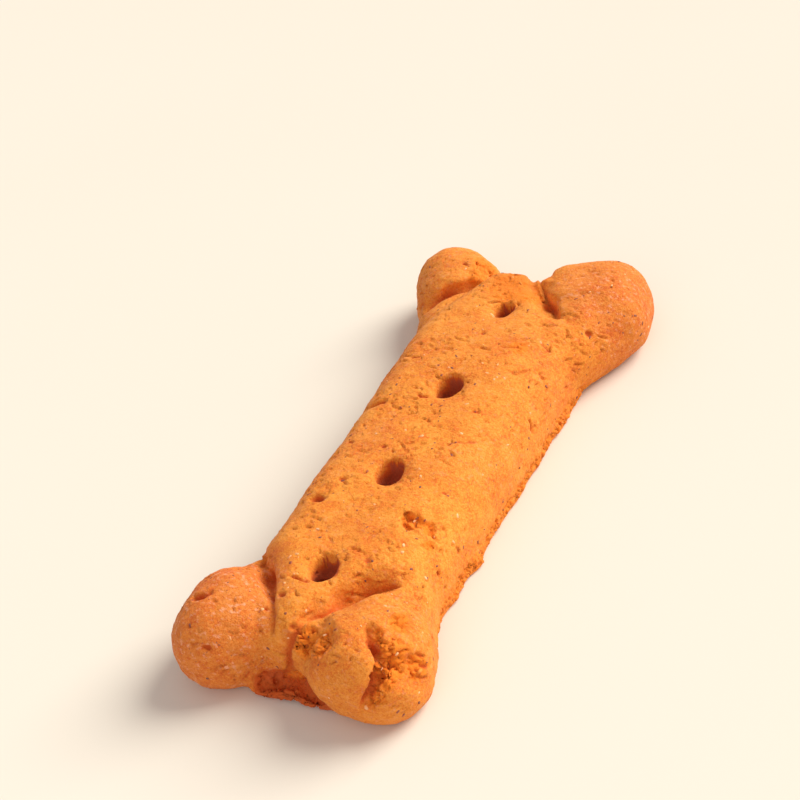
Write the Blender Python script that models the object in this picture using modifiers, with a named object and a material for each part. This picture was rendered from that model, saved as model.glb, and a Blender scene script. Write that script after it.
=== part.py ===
"""A baked, bone-shaped dog biscuit with four knobs and a row of four docking holes.

Every size is in millimetres until the mesh is written, in metres. The drawing's own
origin is the middle of the row of holes, on the table: X across the bone, Y along it to
the far end, Z up. The finished biscuit is moved so that the middle of its box is at 0, 0.
"""
import math

import bmesh
import bpy
import numpy as np
from mathutils import Vector, noise

MM = 0.001

# Driving dimensions
THICKNESS = 8.75            # flat top of the shaft, before its crown is added
CROWN = 0.35                # how much higher the middle of the shaft stands than its edges
SHAFT_HALF_WIDTH = 9.5
HALF_LENGTH = 31.0          # from the middle of the bone to its end notches
HOLE_SPACING = 14.0         # from one docking hole to the next, along the bone
HOLE_DEPTH = 6.5
HOLE_MOUTH = 1.12           # a hole's radius at its mouth and at its end, as shares of its nominal one
HOLE_END = 0.72
HOLE_DIP = 0.4              # how far the skin sags round each hole
SHAFT_EDGE_RADIUS = 5.0     # rounding from the top into the long sides
SHAFT_FOOT_RADIUS = 0.4     # the sides meet the table almost square
SHOULDER_FOOT_RADIUS = 1.8
FLARE_FOOT_RADIUS = 2.8     # the far right shoulder curls under almost as its knob does
TONGUE_RADIUS = 2.4         # rounding of the shaft's far end, between the knobs
KNOB_FOOT_RADIUS = 2.6      # the knobs curl under more than the shaft does
LEDGE_HEIGHT = 1.6          # thin crust that spreads under the near notch
UNEVENNESS = 0.32           # how far the dough swells and sags over LUMP_SIZE
LUMP_SIZE = 11.0
GRAIN = 0.09                # the same for the finer grain
GRAIN_SIZE = 2.2
RAGGED_FOOT = 0.45          # how far the crust spreads at the table, unevenly
RAGGED_SIZE = 1.8
CRAG_SIZE = 2.2             # lumps of the broken crust
BASE_CUT = 0.08             # skinned dough taken off the bottom to lay it flat

FOOT_BALLS = 12             # balls in the ring that rounds each foot
VOXEL = 0.34                # grid on which the joined pieces are skinned
FINAL_TRIANGLES = 10800

# The shaft: middles of its roundings, each with its radius, and its two narrow ends
SHAFT_SPOTS = [(-5.6, 17.0, SHAFT_EDGE_RADIUS), (4.3, 17.5, SHAFT_EDGE_RADIUS),
               (-3.7, 26.9, TONGUE_RADIUS), (1.5, 27.0, TONGUE_RADIUS),
               (4.3, -16.8, SHAFT_EDGE_RADIUS), (-4.7, -16.8, SHAFT_EDGE_RADIUS),
               (-0.5, -24.2, SHAFT_EDGE_RADIUS)]
# The knobs: name, height, foot radius and the middles and radii of their roundings
KNOBS = [("far_left", 8.6, KNOB_FOOT_RADIUS, [(-11.6, 30.7, 4.8), (-9.9, 27.8, 5.2), (-8.1, 29.3, 3.6)]),
         ("far_right", 9.2, 3.4, [(4.6, 29.2, 3.4), (8.7, 30.2, 4.8), (9.3, 27.4, 4.8), (6.0, 26.0, 4.0)]),
         ("near_right", 9.0, KNOB_FOOT_RADIUS, [(8.7, -27.3, 5.0), (7.9, -25.2, 5.0), (6.0, -27.2, 4.8)]),
         ("near_left", 8.8, KNOB_FOOT_RADIUS, [(-8.9, -27.4, 5.2), (-8.9, -25.0, 5.2), (-7.4, -26.6, 4.8)])]
# Shoulders, where the sides of the shaft flare into the knobs, laid out as the knobs are
SHOULDERS = [("far_left", 7.4, SHAFT_FOOT_RADIUS, [(-5.8, 17.0, 4.5), (-8.6, 24.2, 4.4)]),
             ("far_right", 8.6, FLARE_FOOT_RADIUS, [(4.6, 17.5, 4.6), (8.4, 25.4, 4.6)]),
             ("near_right", 8.5, SHOULDER_FOOT_RADIUS, [(4.6, -17.0, 4.6), (7.0, -23.0, 4.5)]),
             ("near_left", 7.2, SHAFT_FOOT_RADIUS, [(-5.2, -17.0, 4.4), (-7.6, -22.0, 4.4)]),
             ("near_middle", 8.2, SHAFT_FOOT_RADIUS, [(-3.0, -24.6, 4.8), (2.8, -24.4, 4.8)])]
LEDGE_SPOTS = [(-4.4, -30.4, LEDGE_HEIGHT / 2), (3.6, -30.3, LEDGE_HEIGHT / 2),
               (3.6, -25.0, LEDGE_HEIGHT / 2), (-4.4, -25.0, LEDGE_HEIGHT / 2)]
# The docking holes, near to far: radius at the top, and how far the pin leaned over in X
HOLES = [(1.3, 0.10), (1.4, 0.12), (1.4, 0.14), (1.05, 0.08)]

# Creases pressed in by the cutter: path on the surface, depth, width to the left of the
# path's direction, width to its right, how much of the depth is left at its two ends, and
# how hollow its slopes are (1 is straight)
CREASES = [
    {"path": [(0.7, 29.8, 7.6), (1.0, 27.8, 8.0), (2.2, 25.6, 8.3), (3.8, 23.4, 8.4), (5.9, 21.5, 8.6),
              (8.4, 20.8, 8.3)], "depth": 1.8, "left": 0.9, "right": 1.5, "ends": (1.0, 0.0), "hollow": 1.2},
    {"path": [(-11.0, 22.6, 6.4), (-9.4, 24.3, 7.2), (-7.9, 25.6, 7.6), (-6.4, 26.4, 7.8), (-4.9, 27.2, 8.0),
              (-4.6, 28.6, 7.6)], "depth": 1.1, "left": 1.2, "right": 0.8, "ends": (0.8, 0.6), "hollow": 1.2},
    {"path": [(-9.2, -18.7, 6.2), (-7.2, -20.8, 7.2), (-5.7, -22.2, 7.5), (-4.4, -23.8, 7.8),
              (-3.2, -25.6, 8.0), (-2.7, -27.4, 7.4)],
     "depth": 1.2, "left": 0.9, "right": 1.0, "ends": (1.0, 0.1), "hollow": 1.3},
    {"path": [(8.4, -20.2, 8.3), (6.7, -21.4, 8.5), (5.4, -22.3, 8.4), (4.2, -23.4, 8.3), (3.2, -24.8, 8.2),
              (2.4, -26.2, 8.0)],
     "depth": 2.3, "left": 0.7, "right": 3.0, "ends": (0.1, 0.4), "hollow": 1.1},
    {"path": [(8.4, -27.3, 8.9), (9.4, -28.6, 8.4), (10.3, -29.3, 7.7), (10.7, -30.0, 6.9),
              (10.4, -30.8, 6.2), (9.6, -31.6, 5.1), (9.3, -31.9, 3.8)],
     "depth": 2.0, "left": 1.4, "right": 0.8, "ends": (0.3, 0.3), "hollow": 1.4},
    {"path": [(-9.2, 3.4, 7.0), (-7.4, 3.3, 8.4), (-5.6, 3.8, 8.9)],
     "depth": 0.5, "left": 0.6, "right": 0.8, "ends": (1.0, 0.1), "hollow": 1.5},
    {"path": [(-3.6, -30.6, 1.9), (-1.9, -29.8, 2.1), (-0.5, -29.4, 2.3), (0.9, -29.8, 2.1),
              (2.6, -30.5, 1.9), (4.3, -31.5, 1.8)],
     "depth": 1.2, "left": 1.0, "right": 0.9, "ends": (0.4, 0.4), "hollow": 1.0},
]
# Craggy patches where the skin broke: middle, reach and depth
CRAGS = [((3.3, -28.6, 7.4), 3.0, 0.95), ((12.0, -28.3, 5.8), 2.6, 1.0), ((10.8, -25.4, 8.2), 1.8, 0.4),
         ((6.8, -12.8, 8.3), 2.4, 0.55), ((0.6, 24.4, 8.9), 3.2, 0.4), ((-6.6, 28.6, 8.0), 2.4, 0.6),
         ((-1.5, -29.6, 3.0), 2.6, 0.5)]
# Where a scrap of dough sticks out at the foot of the right side, and how far
FLASH_TAB = (9.0, -9.0, 0.0)
FLASH_REACH = 0.9


def clear_scene():
    for item in list(bpy.data.objects):
        bpy.data.objects.remove(item, do_unlink=True)


def new_collection(name):
    made = bpy.data.collections.new(name)
    bpy.context.scene.collection.children.link(made)
    return made


def add_object(name, mesh, collection):
    item = bpy.data.objects.new(name, mesh)
    collection.objects.link(item)
    return item


def unit_ball():
    """The points of a ball of radius 1."""
    shape = bmesh.new()
    bmesh.ops.create_uvsphere(shape, u_segments=24, v_segments=14, radius=1)
    points = [v.co.copy() for v in shape.verts]
    shape.free()
    return points


def add_ball(shape, ball, middle, radius):
    """Adds a ball's points, cut flat where the ball would reach below the table."""
    for point in ball:
        at = Vector(middle) + point * radius
        shape.verts.new((at.x * MM, at.y * MM, max(at.z, 0) * MM))


def rounded_block(name, spots, height, foot_radius, collection):
    """A convex block: a ball at each spot rounds its top, and a ring of smaller ones its foot."""
    shape = bmesh.new()
    ball = unit_ball()
    for x, y, radius in spots:
        add_ball(shape, ball, (x, y, height - radius), radius)
        reach = radius - foot_radius
        for step in range(FOOT_BALLS):
            angle = math.tau * step / FOOT_BALLS
            foot = (x + reach * math.cos(angle), y + reach * math.sin(angle), foot_radius)
            add_ball(shape, ball, foot, foot_radius)
    bmesh.ops.remove_doubles(shape, verts=shape.verts, dist=0.001 * MM)
    bmesh.ops.convex_hull(shape, input=shape.verts[:])
    bmesh.ops.delete(shape, geom=[v for v in shape.verts if not v.link_faces], context="VERTS")
    bmesh.ops.dissolve_limit(shape, angle_limit=math.radians(1.5), verts=shape.verts, edges=shape.edges)
    bmesh.ops.recalc_face_normals(shape, faces=shape.faces)
    mesh = bpy.data.meshes.new(name)
    shape.to_mesh(mesh)
    shape.free()
    return add_object(name, mesh, collection)


def hole_cutter(index, radius, lean, collection):
    """A slim cone, wider at the top, for one docking hole."""
    shape = bmesh.new()
    bmesh.ops.create_cone(shape, cap_ends=True, cap_tris=False, segments=24,
                          radius1=radius * HOLE_END * MM, radius2=radius * HOLE_MOUTH * MM,
                          depth=(HOLE_DEPTH + 1) * MM)
    mesh = bpy.data.meshes.new(f"hole_cutter_{index}")
    shape.to_mesh(mesh)
    shape.free()
    cutter = add_object(mesh.name, mesh, collection)
    depth_of_middle = HOLE_DEPTH / 2 - 0.5
    across = -math.sin(lean) * depth_of_middle
    cutter.location = Vector((across, (index - 1.5) * HOLE_SPACING, THICKNESS + CROWN - depth_of_middle)) * MM
    cutter.rotation_euler = (0, lean, 0)
    cutter.hide_render = True
    cutter.display_type = "WIRE"
    return cutter


def apply_modifiers(item):
    """Gives the object its evaluated mesh and drops the modifiers that made it."""
    graph = bpy.context.evaluated_depsgraph_get()
    made = bpy.data.meshes.new_from_object(item.evaluated_get(graph))
    item.modifiers.clear()
    item.data = made


def soften(item, passes):
    soft = item.modifiers.new("soften", "SMOOTH")
    soft.factor = 0.5
    soft.iterations = passes


def join_and_skin(item, pieces, cutters):
    """Joins the knobs to the shaft, cuts the holes and skins all of it as one even, soft surface."""
    joined = item.modifiers.new("join", "BOOLEAN")
    joined.operation = "UNION"
    joined.operand_type = "COLLECTION"
    joined.collection = pieces
    cut = item.modifiers.new("holes", "BOOLEAN")
    cut.operation = "DIFFERENCE"
    cut.operand_type = "COLLECTION"
    cut.collection = cutters
    skin = item.modifiers.new("skin", "REMESH")
    skin.mode = "VOXEL"
    skin.voxel_size = VOXEL * MM
    soften(item, 10)
    apply_modifiers(item)
    for piece in list(pieces.objects):
        bpy.data.objects.remove(piece, do_unlink=True)
    bpy.data.collections.remove(pieces)


def read_points(mesh):
    points = np.empty(len(mesh.vertices) * 3, dtype=np.float32)
    normals = np.empty_like(points)
    mesh.vertices.foreach_get("co", points)
    mesh.vertices.foreach_get("normal", normals)
    return points.reshape(-1, 3).astype(float) / MM, normals.reshape(-1, 3).astype(float)


def write_points(mesh, points):
    mesh.vertices.foreach_set("co", (points * MM).astype(np.float32).ravel())
    mesh.update()


def dough_material():
    made = bpy.data.materials.new("baked_orange_dough")
    made.use_nodes = True
    surface = made.node_tree.nodes["Principled BSDF"]
    surface.inputs["Base Color"].default_value = (0.78, 0.26, 0.055, 1.0)
    surface.inputs["Roughness"].default_value = 0.75
    surface.inputs["Metallic"].default_value = 0.0
    return made


def smooth_step(low, high, value):
    t = np.clip((value - low) / (high - low), 0, 1)
    return t * t * (3 - 2 * t)


def noise_at(points, size, seed, octaves=2):
    """Soft noise of about -1 to 1 at each point, for lumps of the size given."""
    shift = Vector((seed * 17.3, seed * 5.1, seed * 9.7))
    return np.array([noise.fractal(Vector(p) / size + shift, 1.0, 2.0, octaves) for p in points])


def nearest_on_path(points, path):
    """For each point its distance to a path, the share of the path behind it, and its side (1 is left)."""
    path = np.array(path)
    lengths = np.linalg.norm(np.diff(path, axis=0), axis=1)
    starts = np.concatenate(([0], np.cumsum(lengths)))
    distance = np.full(len(points), 1e9)
    share = np.zeros(len(points))
    side = np.zeros(len(points))
    for a, b, length, start in zip(path[:-1], path[1:], lengths, starts):
        along = (b - a) / length
        t = np.clip((points - a) @ along, 0, length)
        offset = points - (a + t[:, None] * along)
        away = np.linalg.norm(offset, axis=1)
        closer = away < distance
        distance[closer] = away[closer]
        share[closer] = (start + t[closer]) / starts[-1]
        side[closer] = np.sign(along[0] * offset[closer, 1] - along[1] * offset[closer, 0])
    return distance, share, side


def press_creases(points, normals):
    for crease in CREASES:
        distance, share, side = nearest_on_path(points, crease["path"])
        width = np.where(side > 0, crease["left"], crease["right"])
        start, end = crease["ends"]
        strength = start + (1 - start) * smooth_step(0, 0.3, share)
        strength *= end + (1 - end) * smooth_step(0, 0.45, 1 - share)
        dip = crease["depth"] * strength * np.clip(1 - distance / width, 0, 1) ** crease["hollow"]
        points -= normals * dip[:, None]


def break_crags(points, normals):
    coarse = noise_at(points, CRAG_SIZE, 3)
    fine = noise_at(points, CRAG_SIZE / 2, 4)
    for middle, reach, depth in CRAGS:
        near = 1 - np.linalg.norm(points - middle, axis=1) / reach
        inside = smooth_step(0, 0.5, near + 0.35 * coarse * (near > -0.3))
        dip = depth * inside * np.clip(0.5 + 0.9 * coarse + 0.35 * fine, -0.1, 1.2)
        points -= normals * dip[:, None]


def sag_round_holes(points):
    for index in range(len(HOLES)):
        away = np.hypot(points[:, 0], points[:, 1] - (index - 1.5) * HOLE_SPACING)
        points[:, 2] -= HOLE_DIP * smooth_step(3.2, 0.8, away) * smooth_step(6, 8, points[:, 2])


def roughen(points, normals):
    """Uneven swelling, finer grain, and a foot that spreads raggedly over the table."""
    lumps = UNEVENNESS * noise_at(points, LUMP_SIZE, 1) + GRAIN * noise_at(points, GRAIN_SIZE, 2)
    points += normals * (lumps * smooth_step(0.3, 3, points[:, 2]))[:, None]
    outward = normals * (1, 1, 0)
    spread = np.clip(0.35 + noise_at(points, RAGGED_SIZE, 5), 0, 1.2) * smooth_step(1.6, 0.2, points[:, 2])
    points += outward * (RAGGED_FOOT * spread * smooth_step(27, 22, np.abs(points[:, 1])))[:, None]
    tab = smooth_step(1.8, 0.2, np.linalg.norm(points - FLASH_TAB, axis=1))
    points += outward * (FLASH_REACH * tab)[:, None]


def crown_top(points):
    """Raises the middle of the shaft a little, as dough rises, and leaves the table side flat."""
    x, y, z = points.T
    across = np.clip(1 - (x / SHAFT_HALF_WIDTH) ** 2, 0, 1)
    along = np.clip(1 - (y / HALF_LENGTH) ** 4, 0, 1)
    upper = np.clip((z - 4) / 4, 0, 1)
    points[:, 2] += CROWN * across * along * upper


def settle(points):
    """Stands the biscuit on a flat base at Z = 0 with the middle of its box over the origin.

    Returns where that middle was in the drawing's own frame.
    """
    low = points[:, 2].min()
    points[:, 2] = np.maximum(points[:, 2] - low - BASE_CUT, 0)
    middle = (points.min(axis=0) + points.max(axis=0)) / 2
    points[:, :2] -= middle[:2]
    return middle


def thin_out(item):
    """Brings the fine skin down to the triangle budget, keeping the most where it curves."""
    item.data.calc_loop_triangles()
    less = item.modifiers.new("thin_out", "DECIMATE")
    less.ratio = FINAL_TRIANGLES / len(item.data.loop_triangles)
    apply_modifiers(item)
    shape = bmesh.new()
    shape.from_mesh(item.data)
    bmesh.ops.triangulate(shape, faces=shape.faces)
    bmesh.ops.dissolve_degenerate(shape, dist=0.002 * MM, edges=shape.edges)
    shape.to_mesh(item.data)
    shape.free()


def main():
    clear_scene()
    whole = new_collection("dog_biscuit")
    pieces = new_collection("pieces")
    cutters = new_collection("cutters")
    biscuit = rounded_block("biscuit", SHAFT_SPOTS, THICKNESS, SHAFT_FOOT_RADIUS, whole)
    for name, height, foot, spots in KNOBS + SHOULDERS:
        rounded_block(name, spots, height, foot, pieces)
    rounded_block("ledge", LEDGE_SPOTS, LEDGE_HEIGHT, LEDGE_HEIGHT / 2, pieces)
    for index, (radius, lean) in enumerate(HOLES):
        hole_cutter(index, radius, lean, cutters)
    join_and_skin(biscuit, pieces, cutters)
    points, normals = read_points(biscuit.data)
    crown_top(points)
    press_creases(points, normals)
    break_crags(points, normals)
    sag_round_holes(points)
    roughen(points, normals)
    write_points(biscuit.data, points)
    soften(biscuit, 3)
    apply_modifiers(biscuit)
    points, normals = read_points(biscuit.data)
    middle = settle(points)
    write_points(biscuit.data, points)
    thin_out(biscuit)
    biscuit.data.materials.clear()
    biscuit.data.materials.append(dough_material())
    biscuit.data.shade_smooth()
    print("middle of the box in the drawing's frame, mm:", middle.round(3))
    print("triangles:", len(biscuit.data.polygons))


main()
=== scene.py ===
"""The looks of a baked, bone-shaped dog biscuit, laid out as a Blender add-on and run as a script."""
import math

import bpy
import numpy as np
from bpy.props import FloatProperty, FloatVectorProperty, IntProperty, PointerProperty
from mathutils import Matrix, Vector, noise
from mathutils.kdtree import KDTree


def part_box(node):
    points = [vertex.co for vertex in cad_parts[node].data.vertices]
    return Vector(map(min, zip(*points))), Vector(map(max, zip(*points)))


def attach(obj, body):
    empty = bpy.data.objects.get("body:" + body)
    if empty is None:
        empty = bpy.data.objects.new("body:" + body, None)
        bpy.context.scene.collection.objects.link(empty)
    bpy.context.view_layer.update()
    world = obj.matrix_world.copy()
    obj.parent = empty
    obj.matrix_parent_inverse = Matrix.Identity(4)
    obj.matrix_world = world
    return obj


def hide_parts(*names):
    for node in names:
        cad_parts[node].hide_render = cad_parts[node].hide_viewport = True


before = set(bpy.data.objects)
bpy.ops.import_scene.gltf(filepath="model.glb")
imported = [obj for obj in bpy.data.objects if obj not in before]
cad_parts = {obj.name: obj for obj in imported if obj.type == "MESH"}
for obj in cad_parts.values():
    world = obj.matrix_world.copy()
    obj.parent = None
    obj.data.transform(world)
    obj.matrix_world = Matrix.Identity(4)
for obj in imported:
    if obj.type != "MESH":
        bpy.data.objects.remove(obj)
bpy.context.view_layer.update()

bl_info = {
    "name": "Baked Dog Biscuit",
    "version": (1, 0, 0),
    "blender": (4, 5, 0),
    "location": "View3D > Sidebar > Biscuit",
    "description": "Bakes the crust, flecks and crumbs of a bone-shaped dog biscuit over its solid",
    "category": "Object",
}

BODY = "root"
SOLID = "biscuit"
CRUST = "biscuit_crust"
MM = 0.001
WHITE = (1.0, 1.0, 1.0, 1.0)

# Positions are in millimetres from the middle of the row of docking holes, on the table:
# X across the bone, Y along it to the far end, Z up. This is that middle in the part's frame.
ROW_MIDDLE = np.array((1.187, -1.474, 0.0))
# The docking holes, near to far: their place along the row and their radius
HOLES = [(-21.0, 1.3), (-7.0, 1.4), (7.0, 1.4), (21.0, 1.05)]
SKIN_TOP = 8.7
# How far the pins leaned to the far end, how deep their upper part is, and how much wider than the
# pin a hole is across the bone and along it
HOLE_LEAN = 0.35
HOLE_SHELF = 2.4
HOLE_SPREAD = (1.02, 1.22)
# Middle of the low dough between the far knobs that gets painted shade, and how far it spreads each way
TONGUE = (-0.4, 26.2)
TONGUE_REACH = (4.2, 3.4)
# Past this distance from the row's middle the shaft widens into the knobs
SHAFT_END = 23
# A furrow's shade reaches past its edge, and a narrow slit runs down its middle
FURROW_SHADE = 1.7
SLIT_REACH = 0.34
SLIT_DEPTH = 0.3
# Shares of the listed depth and reach that a crack gets, and of the listed radius that a pit gets
CRACK_DEPTH, CRACK_REACH = 0.8, 0.7
PIT_REACH = 1.15
# Widths of the crumbs: in the broken patches, in their shallow parts, and along the foot
CRUMB, SMALL_CRUMB, FOOT_CRUMB = 1.3, 0.62, 0.8
# Height of the dough's soft, broad unevenness
SWELL = 0.06
# Shares of a chip's width: how far it may sink in, and what a listed fleck shows of its own
CHIP_DEPTH = 0.3
LISTED_WIDTH = 0.95
# The skin is smoothed this often after its remesh, and points closer than this are merged first
SMOOTHINGS = 14
MERGE = 0.00001
# The wide fill light stands on the camera's side, in metres
FILL_PLACE = (0.16, -0.52, 0.30)
FILL_WIDTH = 0.6
KEY_COLOUR = (1.0, 0.985, 0.93)
FILL_COLOUR = (1.0, 0.97, 0.98)
SKY_COLOUR = (1.0, 0.925, 0.94, 1.0)
FLOOR_WIDTH = 6.0
FLOOR_DROP = 0.00003

# Furrows pressed by the cutter: path on the surface, depth, reach to the left of the path's
# direction and to its right, and how much of the depth is left at its two ends
FURROWS = [
    ([(0.9, 29.6, 7.4), (1.3, 27.8, 7.6), (2.4, 25.7, 7.7), (3.9, 23.6, 7.8), (5.8, 21.7, 8.2),
      (8.0, 20.9, 8.3)], 1.25, 1.7, 0.45, (0.55, 0.15)),
    ([(-11.0, 23.2, 6.2), (-9.6, 24.7, 6.7), (-8.0, 25.8, 6.9), (-6.4, 26.5, 7.2), (-4.9, 27.3, 7.6),
      (-4.5, 28.6, 7.4)], 0.9, 1.5, 0.35, (0.8, 0.5)),
    ([(-9.1, -18.7, 5.5), (-6.6, -21.0, 6.3), (-4.9, -22.9, 7.1), (-3.6, -24.7, 7.8),
      (-2.4, -26.9, 7.6), (-2.1, -28.2, 6.8)], 0.85, 0.6, 1.0, (0.55, 0.5)),
    ([(1.0, -26.6, 7.6), (0.3, -28.3, 6.8), (-0.3, -29.3, 4.7), (-0.9, -29.1, 1.9)], 0.5, 0.5, 1.8,
     (0.4, 0.6)),
    ([(7.8, -20.2, 7.7), (6.2, -20.9, 7.2), (4.7, -21.8, 6.9), (3.5, -23.0, 6.8), (2.5, -24.8, 7.3),
      (1.3, -26.4, 7.6)], 1.15, 0.45, 1.5, (0.5, 0.7)),
    ([(8.2, -27.0, 8.5), (8.8, -27.8, 8.2), (9.5, -28.5, 7.6), (10.0, -29.3, 7.2), (10.2, -30.0, 6.6),
      (10.0, -30.7, 5.8), (9.6, -31.4, 5.0), (9.1, -31.9, 4.0)], 0.9, 0.75, 0.3, (0.5, 0.8)),
    ([(-3.9, -30.9, 1.2), (-2.2, -29.8, 1.5), (-0.9, -29.2, 1.6), (0.5, -29.5, 1.5), (2.0, -30.2, 1.4),
      (3.9, -31.2, 1.2)], 0.7, 0.6, 0.6, (0.4, 0.4)),
]
# Cracks: path, depth and reach
CRACKS = [
    ([(-4.2, -23.2, 7.4), (-3.2, -22.6, 8.2), (-2.1, -22.7, 8.7), (-0.1, -22.9, 8.6)], 0.4, 0.3),
    ([(4.7, -1.3, 8.9), (5.7, -0.9, 8.6), (6.9, -0.1, 8.2)], 0.2, 0.26),
    ([(2.8, 14.2, 9.1), (3.8, 14.3, 9.0), (5.1, 14.9, 8.9)], 0.35, 0.3),
    ([(-2.9, 5.4, 8.9), (-2.1, 4.9, 8.9), (-1.2, 5.1, 8.7)], 0.4, 0.4),
    ([(-9.2, 3.4, 7.0), (-7.4, 3.3, 8.2), (-5.6, 3.8, 8.7)], 0.45, 0.45),
    ([(-0.1, -27.4, 7.5), (0.5, -27.9, 7.1)], 0.5, 0.45),
    ([(8.9, 7.2, 5.9), (9.2, 6.8, 5.0), (9.4, 6.2, 4.6)], 0.55, 0.35),
    ([(-4.9, -30.9, 2.2), (-4.3, -30.4, 2.9)], 0.4, 0.4),
    ([(-11.4, -27.4, 8.0), (-10.3, -27.2, 8.5), (-9.0, -26.5, 8.6)], 0.6, 0.6),
    ([(12.5, -26.8, 6.3), (13.0, -25.9, 5.2)], 0.45, 0.35),
    ([(12.9, -27.2, 5.3), (13.4, -26.2, 4.2)], 0.45, 0.35),
    ([(12.9, -28.1, 4.7), (13.4, -27.1, 3.7)], 0.4, 0.35),
    ([(5.2, -0.4, 8.8), (3.6, 0.6, 8.9)], 0.14, 0.22),
    ([(-7.0, -3.0, 8.3), (-6.0, -3.2, 8.6)], 0.25, 0.3),
    ([(6.4, 16.6, 8.3), (7.9, 16.2, 7.6)], 0.25, 0.3),
    ([(-6.6, 11.0, 8.7), (-5.2, 11.2, 8.9)], 0.25, 0.28),
    ([(-9.2, 29.4, 8.4), (-7.9, 29.0, 8.2)], 0.3, 0.3),
]
# Patches where the skin broke and the crumb shows: middle, reach and depth
BROKEN = [
    ((1.9, -28.4, 6.7), 1.9, 0.85), ((4.3, -28.9, 7.5), 1.7, 0.75), ((11.4, -28.2, 7.2), 2.0, 0.8),
    ((12.7, -27.4, 5.2), 1.7, 0.65), ((11.0, -29.8, 6.2), 1.7, 0.75), ((10.3, -31.2, 4.6), 1.3, 0.8),
    ((9.3, -27.4, 8.3), 1.1, 0.7), ((10.4, -24.9, 7.8), 1.25, 0.55), ((5.8, -12.7, 8.5), 1.2, 0.72),
    ((7.2, -12.5, 8.0), 1.1, 0.65), ((8.0, -14.0, 7.1), 0.8, 0.5), ((-1.2, 25.4, 8.9), 3.0, 0.22),
    ((1.6, 24.6, 8.7), 2.2, 0.2), ((-6.9, 30.2, 7.2), 1.9, 0.34), ((-6.2, 28.2, 7.6), 1.8, 0.3),
    ((4.9, 14.7, 8.9), 1.2, 0.2), ((-0.5, -30.6, 1.4), 2.2, 0.75), ((2.2, -31.0, 1.3), 1.6, 0.7),
    ((-2.7, -30.6, 1.4), 1.5, 0.7),
]
# Single pits: middle, radius and depth
PITS = [
    ((-5.6, -12.0, 8.8), 0.85, 0.9), ((-10.6, -27.3, 8.4), 0.8, 0.6), ((-4.2, -9.0, 9.0), 0.4, 0.3),
    ((-7.6, -31.4, 6.3), 0.5, 0.4), ((-3.4, -26.4, 7.8), 0.35, 0.35), ((-2.4, -24.9, 8.4), 0.5, 0.35),
    ((4.0, -18.9, 8.7), 0.45, 0.3), ((9.2, -11.5, 4.2), 0.35, 0.35), ((9.2, -15.4, 4.8), 0.4, 0.4),
    ((-2.2, -3.5, 9.0), 0.35, 0.3), ((4.9, 3.7, 9.0), 0.4, 0.3), ((1.2, -26.1, 7.8), 0.5, 0.3),
    ((0.0, 16.1, 9.2), 0.3, 0.25), ((10.2, 20.9, 6.9), 0.5, 0.35), ((6.8, -7.9, 8.2), 0.3, 0.2),
]
# How much each knob's skin is darkened, partly browning and partly painted shade: its middle, reach and share
TOASTED_AND_SHADED = [
    ((-9.0, -27.0), 8.0, 1.0), ((8.2, -27.0), 8.0, 0.35), ((11.0, 28.0), 8.0, 0.85),
    ((-11.5, 28.0), 6.0, 0.3),
]
# Flecks that the eye finds first: middle and width
BLACK_FLECKS = [
    ((-8.6, 21.5, 7.3), 0.35), ((-1.5, 16.6, 9.2), 0.4), ((-1.4, 8.6, 9.0), 0.5), ((0.6, 4.9, 8.8), 0.5),
    ((0.8, 3.9, 9.0), 0.4), ((-2.6, 3.1, 8.8), 0.3), ((8.3, 4.3, 7.0), 0.3), ((5.4, -3.0, 8.8), 0.5),
    ((-4.2, -9.0, 8.8), 0.5), ((4.0, -18.9, 8.5), 0.5), ((7.9, -17.8, 7.5), 0.4), ((6.8, -7.9, 8.1), 0.4),
    ((-3.5, 0.9, 8.8), 0.4), ((-5.8, -0.9, 8.7), 0.4), ((-2.2, -17.3, 8.8), 0.4),
    ((-6.7, -30.8, 6.7), 0.4), ((10.2, 20.9, 6.8), 0.5), ((4.9, 3.7, 8.9), 0.4), ((9.2, -11.5, 4.1), 0.4),
    ((7.4, 30.0, 9.0), 0.3), ((-8.5, 29.9, 8.4), 0.4),
]
WHITE_FLECKS = [
    ((-3.0, 20.8, 9.1), 0.5), ((-0.3, 16.8, 9.2), 0.4), ((-1.1, 9.8, 9.2), 0.4), ((-1.2, -0.7, 9.0), 0.5),
    ((1.0, -1.3, 9.1), 0.6), ((8.4, -9.0, 6.6), 0.5), ((6.4, -15.9, 8.5), 0.5), ((6.6, -16.7, 8.3), 0.42),
    ((8.7, 2.3, 6.3), 0.4), ((8.4, -2.9, 6.7), 0.4), ((1.0, -25.8, 7.8), 0.55), ((-0.9, 20.3, 8.5), 0.7),
    ((-0.5, 19.9, 8.9), 0.4), ((11.6, -28.0, 7.1), 0.6), ((-2.4, -22.4, 8.8), 0.3),
]


class Signal:
    """A socket's value, to be used in Python expressions. Each expression adds its Math nodes."""

    def __init__(self, paint, socket):
        self.paint = paint
        self.socket = socket

    def __add__(self, other):
        return self.paint.maths("ADD", self, other)

    def __radd__(self, other):
        return self.paint.maths("ADD", other, self)

    def __sub__(self, other):
        return self.paint.maths("SUBTRACT", self, other)

    def __rsub__(self, other):
        return self.paint.maths("SUBTRACT", other, self)

    def __mul__(self, other):
        return self.paint.maths("MULTIPLY", self, other)

    def __rmul__(self, other):
        return self.paint.maths("MULTIPLY", other, self)


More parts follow.
